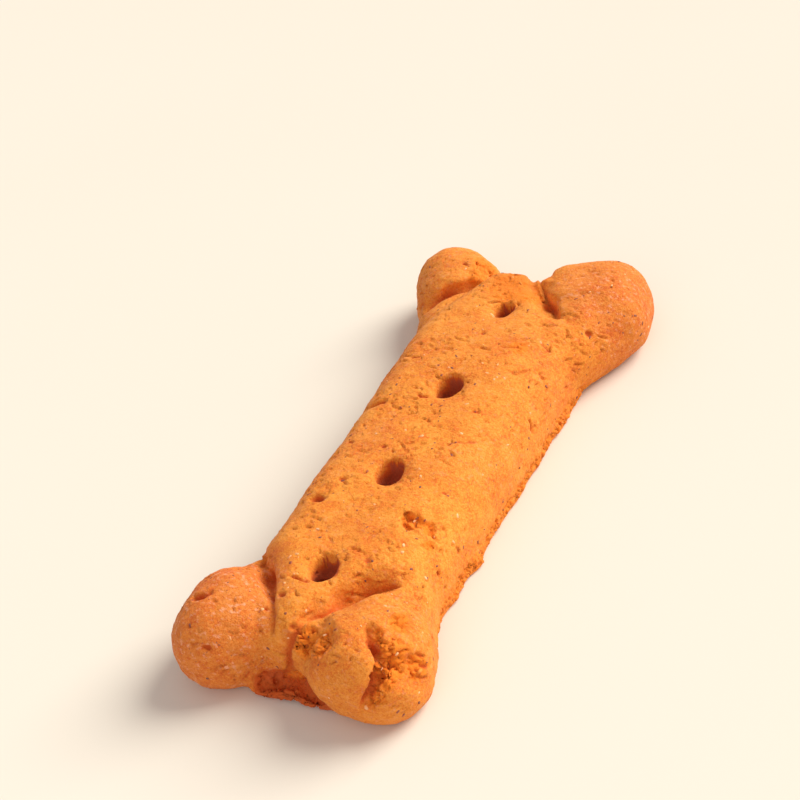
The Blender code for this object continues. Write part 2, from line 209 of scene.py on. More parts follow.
class Paint:
    """Builds the nodes of one material."""

    def __init__(self, name):
        self.material = bpy.data.materials.new(name)
        self.material.use_nodes = True
        self.tree = self.material.node_tree
        self.tree.nodes.clear()

    def node(self, kind, settings=None, inputs=None, output=0):
        """Adds a node: its settings first, then the values or links of its sockets."""
        made = self.tree.nodes.new(kind)
        for name, value in (settings or {}).items():
            if name == "stops":
                self.set_stops(made.color_ramp, value)
            else:
                setattr(made, name, value)
        for key, value in (inputs or {}).items():
            socket = self.find(made.inputs, key)
            if isinstance(value, Signal):
                self.tree.links.new(value.socket, socket)
            else:
                socket.default_value = value
        return Signal(self, self.find(made.outputs, output)) if made.outputs else None

    @staticmethod
    def set_stops(ramp, stops):
        """Gives a colour ramp its stops, each a place and a colour."""
        while len(ramp.elements) < len(stops):
            ramp.elements.new(0.5)
        for element, (place, colour) in zip(ramp.elements, stops):
            element.position = place
            element.color = colour

    @staticmethod
    def find(sockets, key):
        """The socket with this index, identifier or name."""
        if isinstance(key, int):
            return sockets[key]
        for socket in sockets:
            if socket.identifier == key:
                return socket
        return sockets[key]

    def maths(self, operation, a, b=0.0, clamp=False):
        return self.node("ShaderNodeMath", {"operation": operation, "use_clamp": clamp}, {0: a, 1: b})

    def clamp(self, value):
        return self.maths("ADD", value, 0.0, clamp=True)

    def ramp(self, value, low, high):
        """0 below low and 1 above high, with a smooth change between them."""
        return self.node("ShaderNodeMapRange", {"interpolation_type": "SMOOTHSTEP"},
                         {"Value": value, "From Min": low, "From Max": high})

    def colours(self, value, *stops):
        """The colour for a value, from display colours at places along a ramp."""
        return self.node("ShaderNodeValToRGB", {"stops": [(place, linear(c)) for place, c in stops]},
                         {"Fac": value}, "Color")

    def mix(self, share, a, b, blend="MIX"):
        """Mixes two colours."""
        return self.node("ShaderNodeMix", {"data_type": "RGBA", "blend_type": blend},
                         {"Factor_Float": share, "A_Color": a, "B_Color": b}, "Result_Color")

    def place(self, stretch=(1.0, 1.0, 1.0)):
        """The point on the piece in millimetres, stretched for a pattern."""
        spot = self.node("ShaderNodeTexCoord", output="Object")
        scale = tuple(1 / (MM * s) for s in stretch)
        return self.node("ShaderNodeMapping", None, {"Vector": spot, "Scale": scale})

    def noise(self, size, stretch=(1.0, 1.0, 1.0), detail=2.0, rough=0.5, seed=0):
        """Cloudy noise of about 0.3 to 0.7, with clouds of the size given in millimetres."""
        return self.node("ShaderNodeTexNoise", {"noise_dimensions": "4D"},
                         {"Vector": self.place(stretch), "W": seed, "Scale": 1 / size, "Detail": detail,
                          "Roughness": rough}, "Fac")

    def cells(self, size, seed, output="Distance"):
        """Scattered spots: each point's distance to the nearest one, or that one's random colour."""
        return self.node("ShaderNodeTexVoronoi", {"voronoi_dimensions": "4D"},
                         {"Vector": self.place(), "W": seed, "Scale": 1 / size}, output)

    def attribute(self, name):
        """A mask that the mesh holds for each of its points."""
        return self.node("ShaderNodeAttribute", {"attribute_name": name}, output="Fac")

    def bump(self, height, depth, after=None):
        """Fine relief: depth in millimetres is how far a height of 1 stands out."""
        inputs = {"Height": height, "Distance": depth * MM}
        if after is not None:
            inputs["Normal"] = after
        return self.node("ShaderNodeBump", None, inputs)

    def surface(self, **inputs):
        """Ends the material in one Principled shader. Socket names have _ for each space."""
        named = {name.replace("_", " "): value for name, value in inputs.items()}
        shader = self.node("ShaderNodeBsdfPrincipled", None, named)
        self.node("ShaderNodeOutputMaterial", None, {"Surface": shader})
        return self.material


def settings():
    """The sizes and colours that a user may change."""
    return bpy.context.scene.biscuit


def linear(colour):
    """A display colour (0 to 1) as the linear one that the nodes use, with full alpha."""
    return tuple(c / 12.92 if c <= 0.04045 else ((c + 0.055) / 1.055) ** 2.4 for c in colour[:3]) + (1.0,)


def add_object(name, data):
    """Puts a new object with this mesh, lamp or camera in the scene."""
    item = bpy.data.objects.new(name, data)
    bpy.context.scene.collection.objects.link(item)
    return item


def pick(item):
    """Selects one object alone and makes it active."""
    bpy.ops.object.select_all(action="DESELECT")
    item.select_set(True)
    bpy.context.view_layer.objects.active = item


def apply_modifier(item, kind, **values):
    """Adds a modifier to the object with these values and applies it."""
    pick(item)
    bpy.ops.object.modifier_add(type=kind)
    modifier = item.modifiers[-1]
    for name, value in values.items():
        setattr(modifier, name, value)
    bpy.ops.object.modifier_apply(modifier=modifier.name)


def edit(item):
    """Opens one object in edit mode with all of it selected."""
    pick(item)
    bpy.ops.object.mode_set(mode="EDIT")
    bpy.ops.mesh.select_all(action="SELECT")


def done():
    """Leaves edit mode."""
    bpy.ops.object.mode_set(mode="OBJECT")


def read_points(mesh):
    """The mesh's points in millimetres from the row's middle, and their normals."""
    points = np.empty(len(mesh.vertices) * 3, dtype=np.float32)
    normals = np.empty_like(points)
    mesh.vertices.foreach_get("co", points)
    mesh.vertices.foreach_get("normal", normals)
    return points.reshape(-1, 3).astype(float) / MM - ROW_MIDDLE, normals.reshape(-1, 3).astype(float)


def write_points(mesh, points):
    """Moves the mesh's points to these, in millimetres from the row's middle."""
    mesh.vertices.foreach_set("co", ((points + ROW_MIDDLE) * MM).astype(np.float32).ravel())
    mesh.update()


def write_mask(mesh, name, values):
    """Keeps one value for each point in the mesh, for the material and for the flecks."""
    layer = mesh.attributes.new(name, "FLOAT", "POINT")
    layer.data.foreach_set("value", values.astype(np.float32))


def read_mask(mesh, name):
    values = np.empty(len(mesh.vertices), dtype=np.float32)
    mesh.attributes[name].data.foreach_get("value", values)
    return values


def area_shares(mesh):
    """The share of the mesh's area that belongs to each point."""
    areas = np.empty(len(mesh.polygons), dtype=np.float32)
    corners = np.empty(len(mesh.polygons), dtype=np.int32)
    used = np.empty(len(mesh.loops), dtype=np.int32)
    mesh.polygons.foreach_get("area", areas)
    mesh.polygons.foreach_get("loop_total", corners)
    mesh.loops.foreach_get("vertex_index", used)
    shares = np.bincount(used, weights=np.repeat(areas / corners, corners), minlength=len(mesh.vertices))
    return shares / shares.sum()


def ease(low, high, value):
    """0 at low and 1 at high, with a smooth change between them. Low may be the larger one."""
    t = np.clip((value - low) / (high - low), 0, 1)
    return t * t * (3 - 2 * t)


def noise_at(points, size, seed, octaves=2, stretch=(1, 1, 1)):
    """Soft noise of about -1 to 1 at each point, for lumps of the size given. Each seed is a pattern."""
    scaled = points / (np.array(stretch) * size) + np.array((seed * 17.3, seed * 5.1, seed * 9.7))
    return np.array([noise.fractal(p, 1.0, 2.0, octaves) for p in scaled.tolist()])


def crumbs_at(points, size, seed):
    """Broken crumb: how low each point lies on its domed crumb (0 to 1), and the gap beside the crumb."""
    low = np.empty(len(points))
    gap = np.empty(len(points))
    shift = Vector((seed * 3.1, seed * 7.7, seed * 1.9))
    for i, p in enumerate((points / size).tolist()):
        spans, middles = noise.voronoi(Vector(p) + shift)
        short = 0.5 - 0.5 * noise.cell(middles[0] * 5.3)
        low[i] = 0.65 * short + 0.35 * min((spans[0] / 0.75) ** 2, 1.0)
        gap[i] = spans[1] - spans[0]
    return low, ease(0.16, 0.0, gap)


def nearest_on_path(points, path):
    """For each point its distance to a path, the share of the path behind it, and its side (1 is left)."""
    path = np.array(path)
    lengths = np.linalg.norm(np.diff(path, axis=0), axis=1)
    starts = np.concatenate(([0], np.cumsum(lengths)))
    distance = np.full(len(points), 1e9)
    share = np.zeros(len(points))
    side = np.zeros(len(points))
    for a, b, length, start in zip(path[:-1], path[1:], lengths, starts):
        along = (b - a) / length
        t = np.clip((points - a) @ along, 0, length)
        offset = points - (a + t[:, None] * along)
        away = np.linalg.norm(offset, axis=1)
        closer = away < distance
        distance[closer] = away[closer]
        share[closer] = (start + t[closer]) / starts[-1]
        side[closer] = np.sign(along[0] * offset[closer, 1] - along[1] * offset[closer, 0])
    return distance, share, side


class Dough:
    """The crust's points while it is shaped, with the masks that its material reads."""

    def __init__(self, mesh):
        self.mesh = mesh
        self.points, self.normals = read_points(mesh)
        self.all = np.arange(len(self.points))
        self.hollow = np.zeros(len(self.points))
        self.broken = np.zeros(len(self.points))

    def near(self, middle, reach):
        """The points within reach of a middle."""
        return np.flatnonzero(np.linalg.norm(self.points - middle, axis=1) < reach)

    def press(self, chosen, depth):
        """Moves the chosen points inwards by depth."""
        self.points[chosen] -= self.normals[chosen] * depth[:, None]

    def paint_shade(self, chosen, amount):
        """Paints shade on the chosen points, kept as a mask: 1 in a furrow, and 2 in the deepest place."""
        self.hollow[chosen] = np.maximum(self.hollow[chosen], amount)

    def settle(self):
        """Hands the moved points to the mesh and reads its new normals."""
        write_points(self.mesh, self.points)
        self.normals = read_points(self.mesh)[1]


def press_furrows(dough):
    """Presses each furrow, with the shade that it casts and the slit down its middle."""
    crust = settings().crust
    for path, depth, left, right, (start, end) in FURROWS:
        distance, share, side = nearest_on_path(dough.points, path)
        width = np.where(side > 0, left, right) * (1 + 0.25 * np.sin(share * 23))
        strength = start + (1 - start) * ease(0, 0.3, share)
        strength *= end + (1 - end) * ease(0, 0.45, 1 - share)
        chosen = np.flatnonzero(distance < width * FURROW_SHADE)
        near = distance[chosen] / width[chosen]
        slit = strength[chosen] * np.clip(1 - distance[chosen] / SLIT_REACH, 0, 1)
        dough.press(chosen, crust.furrow_depth * depth * strength[chosen] * np.clip(1 - near, 0, 1) ** 1.3)
        dough.press(chosen, SLIT_DEPTH * slit)
        # Painted shade down the slit and softly past the furrow's edges
        dough.paint_shade(chosen, 1.4 * slit)
        dough.paint_shade(chosen, 1.1 * strength[chosen] * (1 - near / FURROW_SHADE) ** 3.6)


def open_cracks(dough):
    """Opens each crack along a wobbling path, with a slightly raised lip on both sides."""
    wobble = 0.132 * noise_at(dough.points, 0.8, seed=11)
    for path, depth, reach in CRACKS:
        depth, reach = CRACK_DEPTH * depth, CRACK_REACH * reach
        distance, share, _ = nearest_on_path(dough.points, path)
        distance = np.abs(distance + wobble)
        ends = ease(0, 0.2, share) * ease(0, 0.2, 1 - share)
        chosen = np.flatnonzero(distance < reach * 2.5)
        near, ends = distance[chosen] / reach, ends[chosen]
        fall = np.clip(1 - near, 0, 1) ** 0.8 * ends
        lip = ease(1.0, 1.6, near) * ease(2.5, 1.6, near) * ends
        dough.press(chosen, depth * (fall - 0.14 * lip))
        # Painted shade in the crack
        dough.paint_shade(chosen, 1.25 * fall)


def break_patches(dough):
    """Breaks the skin in patches, where crumbs of different heights stand with gaps between them."""
    points = dough.points
    strength = np.zeros(len(points))
    inside = np.zeros(len(points))
    ragged = noise_at(points, 1.0, seed=31, octaves=3)
    for middle, reach, depth in BROKEN:
        away = np.linalg.norm(points - middle, axis=1) / reach + 0.42 * ragged
        patch = ease(1.05, 0.6, away)
        inside = np.maximum(inside, patch)
        strength = np.maximum(strength, patch * depth)
    chosen = np.flatnonzero(inside > 0.01)
    spots = points[chosen]
    warp = np.stack([noise_at(spots, 0.9, seed=20 + k, octaves=3) for k in range(3)], axis=1)
    low, gap = crumbs_at(spots + 0.62 * warp, CRUMB, seed=2)
    low_small, gap_small = crumbs_at(spots + 0.42 * warp, SMALL_CRUMB, seed=40)
    coarse = ease(0.3, 0.75, strength[chosen])
    large, small = 0.72 * low + 0.40 * gap, 0.6 * low_small + 0.35 * gap_small
    dip = coarse * large + (1 - 0.7 * coarse) * small - 0.16
    dough.press(chosen, settings().crust.crumb_depth * strength[chosen] * dip)
    share = np.clip(strength[chosen] / 0.8, 0.2, 1)
    # Painted shade in the gaps between the crumbs
    dough.paint_shade(chosen, inside[chosen] * share * np.clip(1.35 * (dip - 0.45), 0, 0.9))
    dough.broken = np.maximum(dough.broken, inside)


def sink_pits(dough):
    """Sinks the single pits, each a little longer across the bone and ragged at its rim."""
    for middle, radius, depth in PITS:
        radius *= PIT_REACH
        chosen = dough.near(middle, radius * 1.5)
        spots = dough.points[chosen]
        away = np.linalg.norm((spots - middle) * (0.75, 1.4, 1), axis=1) / radius
        away += 0.25 * noise_at(spots, 0.7, seed=51)
        well = ease(1.0, 0.3, away)
        dough.press(chosen, depth * well)
        # Painted shade in the pit
        dough.paint_shade(chosen, np.clip(2.6 * depth, 1.1, 1.8) * well)


def tear_skin(dough):
    """Small tears across the bone, with a steep far side and a gentle near one."""
    crust = settings().crust
    dice = np.random.default_rng(crust.seed)
    untorn = dough.points.copy()
    upper = np.flatnonzero((untorn[:, 2] > 1.0) & (dough.normals[:, 2] > -0.1))
    # They gather in some places, and are rare on the knobs, in hollows and on the holes' rims
    weights = np.clip(0.45 + noise_at(untorn[upper], 4.0, seed=61, octaves=3), 0.06, 1.6)
    weights *= np.where(np.abs(untorn[upper, 1]) > SHAFT_END, 0.5, 1.0)
    weights *= ease(0.6, 0.2, dough.hollow[upper]) * area_shares(dough.mesh)[upper]
    for place, radius in HOLES:
        away = np.hypot(untorn[upper, 0], untorn[upper, 1] - place)
        weights *= ease(radius, 1.6 * radius, away)
    sites = dice.choice(upper, size=crust.tears, replace=False, p=weights / weights.sum())
    tree = KDTree(len(untorn))
    for i, point in enumerate(untorn.tolist()):
        tree.insert(point, i)
    tree.balance()
    for site in sites:
        middle, normal = untorn[site], dough.normals[site].copy()
        turn = dice.normal(0, 0.4)
        along = np.array((math.cos(turn), math.sin(turn), 0.0))
        along -= normal * (along @ normal)
        if np.linalg.norm(along) < 0.5:
            along = np.cross(normal, (0.3, 0.1, 1.0))
        along /= np.linalg.norm(along)
        across = np.cross(normal, along)
        half_length = min(dice.gamma(2.4, 0.14), 1.0)
        half_width = dice.uniform(0.08, 0.17)
        size = dice.uniform(0.25, 1.0) ** 1.5
        found = np.array([i for _, i, _ in tree.find_range(middle, half_length + 0.3)])
        offset = untorn[found] - middle
        # s runs along the tear in half lengths, and t across it in half widths
        s = offset @ along / half_length
        t = offset @ across / half_width + 0.7 * np.sin(s * 3 + turn * 9)
        close = (np.abs(s) < 1) & (t > -2.6) & (t < 2.2)
        found, s, t = found[close], s[close], t[close]
        slit = np.where(t > 0, np.clip(1 - t / 0.8, 0, 1), np.clip(1 + t / 2.4, 0, 1) ** 1.6) * (1 - s * s)
        lip = ease(0.7, 1.2, t) * ease(2.2, 1.2, t) * (1 - s * s)
        dough.press(found, crust.tear_depth / MM * size * (slit - 0.22 * lip))
        # Painted shade in the tear
        dough.paint_shade(found, (0.22 + 0.42 * size) * slit ** 1.3)


def grain(dough):
    """Soft unevenness, ripples across the bone and the fine grain of the dough all over."""
    crust = settings().crust
    upper = ease(0.15, 0.8, dough.points[:, 2])
    lift = noise_at(dough.points, 3.2, seed=71) * SWELL
    lift += noise_at(dough.points, 1.5, seed=73, stretch=(2.2, 1, 1)) * crust.ripple / MM
    lift += noise_at(dough.points, 0.55, seed=72, octaves=3, stretch=(1.4, 0.9, 1)) * crust.grain / MM
    dough.press(dough.all, -lift * upper)


def crumble_foot(dough):
    """Crumbs along the foot, where the dough was cut, most of all down the straight sides."""
    x, y, z = dough.points.T
    straight = 1 - 0.65 * ease(20, 25, np.abs(y))
    ragged = 0.55 * noise_at(dough.points, 1.4, seed=82)
    foot = ease(2.1, 1.0, z + ragged) * ease(0.0, 0.25, z) * straight
    foot *= ease(0.8, 0.4, np.abs(dough.normals[:, 2]))
    low = np.flatnonzero(foot > 0.01)
    spots = dough.points[low]
    warp = np.stack([noise_at(spots, 0.8, seed=84 + k) for k in range(3)], axis=1)
    deep, gap = crumbs_at(spots + 0.6 * warp, FOOT_CRUMB, seed=81)
    dip = 0.6 * deep + 0.4 * gap - 0.2
    dough.press(low, foot[low] * dip * settings().crust.crumb_depth * 0.6)
    # Painted shade in the gaps between the foot's crumbs
    dough.paint_shade(low, foot[low] * np.clip(1.5 * (dip - 0.35), 0, 0.9))
    dough.broken[low] = np.maximum(dough.broken[low], 0.7 * foot[low])


def open_holes(dough):
    """Cuts each docking hole's far wall straight down, as the pin left it, below its soft near rim."""
    x, y, z = dough.points.T
    across, along = HOLE_SPREAD
    for place, radius in HOLES:
        away = np.hypot(x / (across * radius), (y - place - HOLE_LEAN) / (along * radius))
        well = ease(1.08, 0.84, away)
        drop = np.maximum(z - (SKIN_TOP - HOLE_SHELF), 0) * well
        dough.points[:, 2] -= np.where(z > 4, drop, 0)


def shade_deep_places(dough):
    """Paints shade by depth in the docking holes, and on the low tongue and the ledge under the near notch.
    """
    x, y, z = dough.points.T
    for place, radius in HOLES:
        chosen = np.flatnonzero(np.hypot(x, y - place) < radius * 1.5)
        below = SKIN_TOP - z[chosen]
        # Far walls face away from the light, so their painted shadow starts right at the rim
        shaded_far_wall = ease(0.1, -0.5, dough.normals[chosen] @ (0.6, 0.8, 0.0))
        deep = (1 - shaded_far_wall) * ease(0.3, 2.4, below) + shaded_far_wall * ease(0.0, 0.45, below)
        dough.paint_shade(chosen, 2 * deep)
    # Painted shade on the low dough between the far knobs
    tongue = np.hypot((x - TONGUE[0]) / TONGUE_REACH[0], (y - TONGUE[1]) / TONGUE_REACH[1])
    dough.paint_shade(dough.all, 0.3 * ease(1.2, 0.5, tongue) * ease(4, 6, z))
    # The ledge under the near notch gets the darkest painted shade: it is low, and within 5 mm of the middle
    # of the near end
    ledge = ease(2.8, 1.8, z) * ease(-4.8, -3.8, x) * ease(5.0, 4.0, x)
    middle = ease(3.2, 1.0, np.abs(x + 0.4)) * ease(1.0, 1.8, z)
    dough.paint_shade(dough.all, (1.2 + 0.5 * middle) * ledge * ease(-28.2, -29.0, y))


def crust_material():
    """The baked dough: mottling, browning with painted shade, bloom, fresh crumb, painted shade in hollows,
    specks and grain.
    """
    look = settings().crust
    paint = Paint("baked_orange_crust")
    hollow = paint.attribute("hollow")
    broken = paint.attribute("broken")
    toast = paint.attribute("toast")
    fine = paint.noise(0.26, (1.3, 1.0, 1.0), detail=3, rough=0.6, seed=1)
    medium = paint.noise(1.3, (1.4, 1.0, 1.0), seed=2)
    broad = paint.noise(6.0, seed=3)
    grit = paint.noise(0.13, rough=0.6, seed=12)
    tone = 0.5 + (fine - 0.5) * look.mottle * 1.5 + (grit - 0.5) * look.mottle * 1.5
    tone = tone + (medium - 0.5) * look.mottle + (broad - 0.5) * 0.6
    stops = (0.15, look.deep_colour), (0.5, look.dough_colour), (0.85, look.light_colour)
    base = paint.colours(tone, *stops)
    # Browning on the knobs, partly painted shade, and painted shade on the left wall
    browning_and_shade = paint.clamp(toast * (0.5 + paint.noise(1.4, detail=3, seed=4)))
    base = paint.mix(browning_and_shade, base, linear(look.toast_and_shade_colour), "MULTIPLY")
    bloom = paint.ramp(paint.noise(0.45, (1.5, 1.0, 1.0), detail=4, rough=0.65, seed=5), 0.52, 0.70)
    base = paint.mix(bloom * (0.12 + 0.9 * toast), base, linear(look.bloom_colour))
    base = paint.mix(paint.clamp(broken * (0.4 + 0.8 * fine)), base, linear(look.crumb_colour))
    # Painted shade in furrows, cracks, gaps, pits and tears, darkest in the docking holes and on the ledge
    base = paint.mix(paint.ramp(hollow, 0.05, 1.0) * 0.85, base, linear(look.hollow_shade_colour))
    base = paint.mix(paint.ramp(hollow, 0.95, 1.9) * 0.75, base, linear(look.deepest_shade_colour))
    dots = paint.cells(0.50, seed=5)
    chance = paint.cells(0.50, seed=5, output="Color")
    specks = (1 - paint.ramp(dots, 0.12, 0.26)) * paint.ramp(chance, 0.60, 0.66)
    base = paint.mix(specks * 0.5, base, linear(look.speck_colour))
    glints = (1 - paint.ramp(dots, 0.10, 0.22)) * (1 - paint.ramp(chance, 0.30, 0.36))
    base = paint.mix(glints * 0.35, base, linear(look.bloom_colour))
    # Fine slits across the bone, with painted shade in them
    slits = 1 - paint.ramp(paint.noise(0.25, (1.9, 0.8, 0.8), detail=3, rough=0.6, seed=6), 0.28, 0.38)
    base = paint.mix(slits * 0.45, base, linear(look.hollow_shade_colour))
    tiny = paint.noise(0.14, detail=3, rough=0.65, seed=7)
    relief = paint.bump(tiny, 0.10)
    relief = paint.bump(paint.noise(0.36, detail=3, rough=0.6, seed=11), 0.14, after=relief)
    relief = paint.bump(1 - slits, 0.03, after=relief)
    return paint.surface(Base_Color=base, Roughness=0.62 + 0.25 * tiny, Specular_IOR_Level=0.3,
                         Sheen_Weight=0.05, Sheen_Roughness=0.5, Sheen_Tint=linear(look.dust_colour),
                         Normal=relief)


def chip_material(name, colour, other):
    """Finish of small chips and crumbs: two tones with a fine grain."""
    paint = Paint(name)
    tone = paint.ramp(paint.noise(0.5, seed=8), 0.4, 0.6)
    base = paint.mix(tone, linear(colour), linear(other))
    fine = paint.noise(0.12, seed=9)
    return paint.surface(Base_Color=base, Roughness=0.55 + 0.25 * fine, Specular_IOR_Level=0.35,
                         Normal=paint.bump(fine, 0.02))


def finish_piece(item, material, replaces=None):
    """Gives a piece its material and body, and hides the solid that it stands for."""
    item.data.materials.clear()
    item.data.materials.append(material)
    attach(item, BODY)
    if replaces:
        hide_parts(replaces)


def inside_box(points):
    """Keeps points within the solid's box."""
    low, high = (np.array(corner) / MM - ROW_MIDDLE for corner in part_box(SOLID))
    return np.clip(points, low, high)


class CrustSettings(bpy.types.PropertyGroup):
    """Sizes and colours of the crust."""

    skin_grid: FloatProperty(
        name="Skin grid", description="Spacing of the skin's points", default=0.00019, unit="LENGTH",
        precision=6)
    triangles: IntProperty(name="Triangles", description="How many the finished crust has", default=196000)
    furrow_depth: FloatProperty(
        name="Furrow depth", description="How deep the cutter's furrows are", default=1.0, subtype="FACTOR",
        min=0, max=2)
    crumb_depth: FloatProperty(
        name="Crumb depth", description="How deep the broken patches are", default=1.0, subtype="FACTOR",
        min=0, max=2)
    ripple: FloatProperty(
        name="Ripples", description="Height of the ripples across the bone", default=0.00006, unit="LENGTH",
        precision=6)
    grain: FloatProperty(
        name="Grain", description="Height of the fine grain", default=0.000035, unit="LENGTH", precision=6)
    tears: IntProperty(name="Tears", description="How many small tears the skin has", default=1600)
    tear_depth: FloatProperty(
        name="Tear depth", description="Depth of the deepest small tear", default=0.0004, unit="LENGTH",
        precision=6)
    seed: IntProperty(name="Seed", description="Start of the scatter", default=5)
    mottle: FloatProperty(
        name="Mottle", description="How strong the fine mottling is", default=0.9, subtype="FACTOR", min=0,
        max=2)
    dough_colour: FloatVectorProperty(
        name="Dough", description="Main colour of the baked dough", subtype="COLOR_GAMMA",
        default=(0.92, 0.545, 0.145))
    light_colour: FloatVectorProperty(
        name="Light dough", description="Lightest mottling", subtype="COLOR_GAMMA",
        default=(0.96, 0.62, 0.23))
    deep_colour: FloatVectorProperty(
        name="Deep dough", description="Darkest mottling", subtype="COLOR_GAMMA", default=(0.87, 0.425, 0.10))
    # The toasting tint also carries painted shade on the knobs and the left wall
    toast_and_shade_colour: FloatVectorProperty(
        name="Toasting", description="Tint of the browned knobs", subtype="COLOR_GAMMA",
        default=(0.935, 0.87, 1.0))
    bloom_colour: FloatVectorProperty(
        name="Bloom", description="Dusty pinkish bloom", subtype="COLOR_GAMMA", default=(0.93, 0.63, 0.46))
    crumb_colour: FloatVectorProperty(
        name="Crumb", description="Fresh crumb where the skin broke", subtype="COLOR_GAMMA",
        default=(0.96, 0.51, 0.07))
    # Colour of the painted shade in furrows, cracks and gaps
    hollow_shade_colour: FloatVectorProperty(
        name="Hollow", description="Furrows, cracks and gaps", subtype="COLOR_GAMMA",
        default=(0.79, 0.315, 0.06))
    # Colour of the darkest painted shade, in the docking holes and on the ledge under the near notch
    deepest_shade_colour: FloatVectorProperty(
        name="Deepest", description="Bottoms of the docking holes", subtype="COLOR_GAMMA",
        default=(0.66, 0.31, 0.20))
    dust_colour: FloatVectorProperty(
        name="Dust", description="Flour dust seen along the edges", subtype="COLOR_GAMMA",
        default=(1.0, 0.84, 0.78))
    speck_colour: FloatVectorProperty(
        name="Specks", description="Tiny specks of bran", subtype="COLOR_GAMMA", default=(0.62, 0.33, 0.24))


class FleckSettings(bpy.types.PropertyGroup):
    """Numbers, sizes and colours of the flecks and loose crumbs."""

    dark_count: IntProperty(name="Dark flecks", description="How many small dark flecks", default=260)
    pale_count: IntProperty(name="Pale flecks", description="How many small pale flecks", default=120)
    crumb_count: IntProperty(name="Crumbs", description="How many loose crumbs", default=130)
    size: FloatProperty(
        name="Size", description="Width of a common fleck", default=0.0003, unit="LENGTH", precision=6)
    dark_colour: FloatVectorProperty(
        name="Dark", description="Dark bran", subtype="COLOR_GAMMA", default=(0.50, 0.29, 0.24))
    dark_other: FloatVectorProperty(
        name="Dark, other tone", description="Second tone of dark bran", subtype="COLOR_GAMMA",
        default=(0.69, 0.36, 0.20))
    pale_colour: FloatVectorProperty(
        name="Pale", description="Pale grain", subtype="COLOR_GAMMA", default=(0.95, 0.73, 0.52))
    pale_other: FloatVectorProperty(
        name="Pale, other tone", description="Second tone of pale grain", subtype="COLOR_GAMMA",
        default=(0.93, 0.64, 0.40))
    crumb_colour: FloatVectorProperty(
        name="Crumbs", description="Loose crumbs", subtype="COLOR_GAMMA", default=(0.90, 0.54, 0.18))
    crumb_other: FloatVectorProperty(
        name="Crumbs, other tone", description="Second tone of crumbs", subtype="COLOR_GAMMA",
        default=(0.82, 0.44, 0.14))


class StageSettings(bpy.types.PropertyGroup):
    """The floor, the lights and the camera."""

    floor_colour: FloatVectorProperty(
        name="Floor", description="Colour of the floor", subtype="COLOR_GAMMA", default=(0.893, 0.86, 0.80))
    key_strength: FloatProperty(
        name="Key light", description="Strength of the sun-like key light", default=4.05)
    key_spread: FloatProperty(
        name="Key spread", description="Width of the key light, which softens shadows",
        default=math.radians(40), subtype="ANGLE")
    key_from: FloatVectorProperty(
        name="Key from", description="Where the key light comes from", subtype="XYZ",
        default=(0.50, 0.62, 0.60))
    fill_power: FloatProperty(
        name="Fill light", description="Power of the wide fill, in watts", default=1.0, unit="POWER")
    sky: FloatProperty(name="Sky", description="Strength of the light from all round", default=0.47)
    aim: FloatVectorProperty(
        name="Aim", description="Where the camera looks, from the row's middle", subtype="XYZ", unit="LENGTH",
        default=(-0.00406, 0.00378, 0.009))
    azimuth: FloatProperty(
        name="Azimuth", description="Camera's turn round the biscuit", default=math.radians(36.68),
        subtype="ANGLE")
    elevation: FloatProperty(
        name="Elevation", description="Camera's height above the horizon", default=math.radians(36.16),
        subtype="ANGLE")
    roll: FloatProperty(
        name="Roll", description="How far the camera leans", default=math.radians(-15.72), subtype="ANGLE")
    distance: FloatProperty(
        name="Distance", description="From the camera to where it looks", default=0.1892, unit="LENGTH",
        precision=4)
    lens: FloatProperty(name="Lens", description="Focal length of the camera, in mm", default=81.0)


class BiscuitSettings(bpy.types.PropertyGroup):
    """All that a user would change."""

    crust: PointerProperty(type=CrustSettings)
    flecks: PointerProperty(type=FleckSettings)
    stage: PointerProperty(type=StageSettings)


